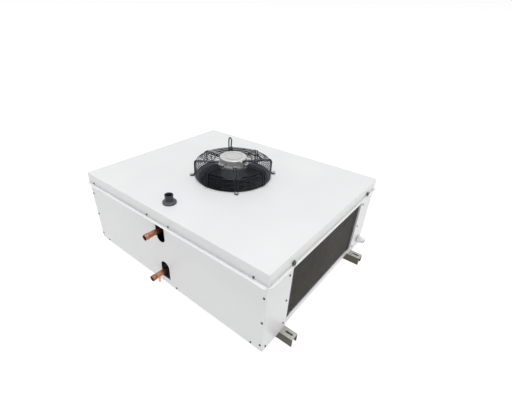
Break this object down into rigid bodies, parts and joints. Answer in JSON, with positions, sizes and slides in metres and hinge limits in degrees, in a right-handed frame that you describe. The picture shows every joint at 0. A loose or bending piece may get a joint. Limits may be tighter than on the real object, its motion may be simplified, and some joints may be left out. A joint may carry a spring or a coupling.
{
  "type": "walk-in unit cooler",
  "caption": "Ceiling unit cooler with a fan and wire guard in its drain pan cover, finned coils on both sides, copper pipes at one end and slotted hanging channels.",
  "frame": {"origin": "middle of the hanging slots, on the side of the channel webs that lies against the casing, under the fan axis", "axes": "+X along the pipe end panel, +Y from the pipe end to the wiring end, +Z from the ceiling side to the fan and drain pan side, which is up as pictured and down in service"},
  "size_m": [1.104, 0.894, 0.503],
  "materials": {
    "white_sheet": "gloss",
    "galvanised": "satin",
    "fins": "satin",
    "copper": "satin",
    "brass": "satin",
    "guard_coat": "satin",
    "rotor_coat": "satin",
    "cast_aluminium": "satin",
    "laminations": "matt",
    "steel": "satin",
    "dark_steel": "satin",
    "rubber": "matt",
    "black_plastic": "satin",
    "grey_plastic": "satin",
    "white_plastic": "satin"
  },
  "bodies": {
    "casing": {"cable_grommets": "rubber", "cable_tie": "black_plastic", "ceiling_plate": "white_sheet", "channel_bolts": "steel", "channel_nuts": "steel", "coil_rails": "galvanised", "coil_seals": "rubber", "coil_tubes_left": "copper", "coil_tubes_right": "copper", "corner_post_front_left": "white_sheet", "corner_post_front_right": "white_sheet", "corner_post_rear_left": "white_sheet", "corner_post_rear_right": "white_sheet", "cover_bolt_washers": "dark_steel", "cover_bolts": "dark_steel", "cover_screws": "dark_steel", "distributor": "brass", "drain_gasket": "rubber", "drain_locknut": "black_plastic", "drain_pan_cover": "white_sheet", "drain_spigot": "black_plastic", "end_panel_screws": "dark_steel", "fan_guard": "guard_coat", "fan_ring": "white_sheet", "feeder_tubes_left": "copper", "feeder_tubes_right": "copper", "fin_pack_left": "fins", "fin_pack_right": "fins", "gland_body": "white_plastic", "gland_dome_nut": "white_plastic", "gland_locknut": "white_plastic", "gland_seal": "rubber", "gland_washer": "rubber", "guard_clamp_screws": "steel", "guard_clamps": "steel", "guard_foot_screws": "steel", "guard_foot_washers": "steel", "liquid_pipe": "copper", "motor_bearings": "steel", "motor_cable": "rubber", "motor_cable_bush": "rubber", "motor_end_cap": "cast_aluminium", "motor_flange": "cast_aluminium", "mounting_channel_front": "galvanised", "mounting_channel_rear": "galvanised", "pipe_end_panel": "white_sheet", "post_screws": "dark_steel", "return_bends": "copper", "stator_core": "laminations", "suction_manifold": "copper", "suction_pipe": "copper", "terminal_box": "grey_plastic", "terminal_box_lid": "grey_plastic", "tube_plate_pipe_end": "galvanised", "tube_plate_wiring_end": "galvanised", "wiring_end_panel": "white_sheet"},
    "rotor": {"motor_rotor": "rotor_coat", "motor_shaft": "steel", "fan_impeller": "rotor_coat"}
  },
  "joints": [
    {"name": "fan_spin", "type": "hinge", "parent": "casing", "child": "rotor", "pos_m": [0, 0, 0.38], "axis": [0, 0, 1], "continuous": true}
  ]
}
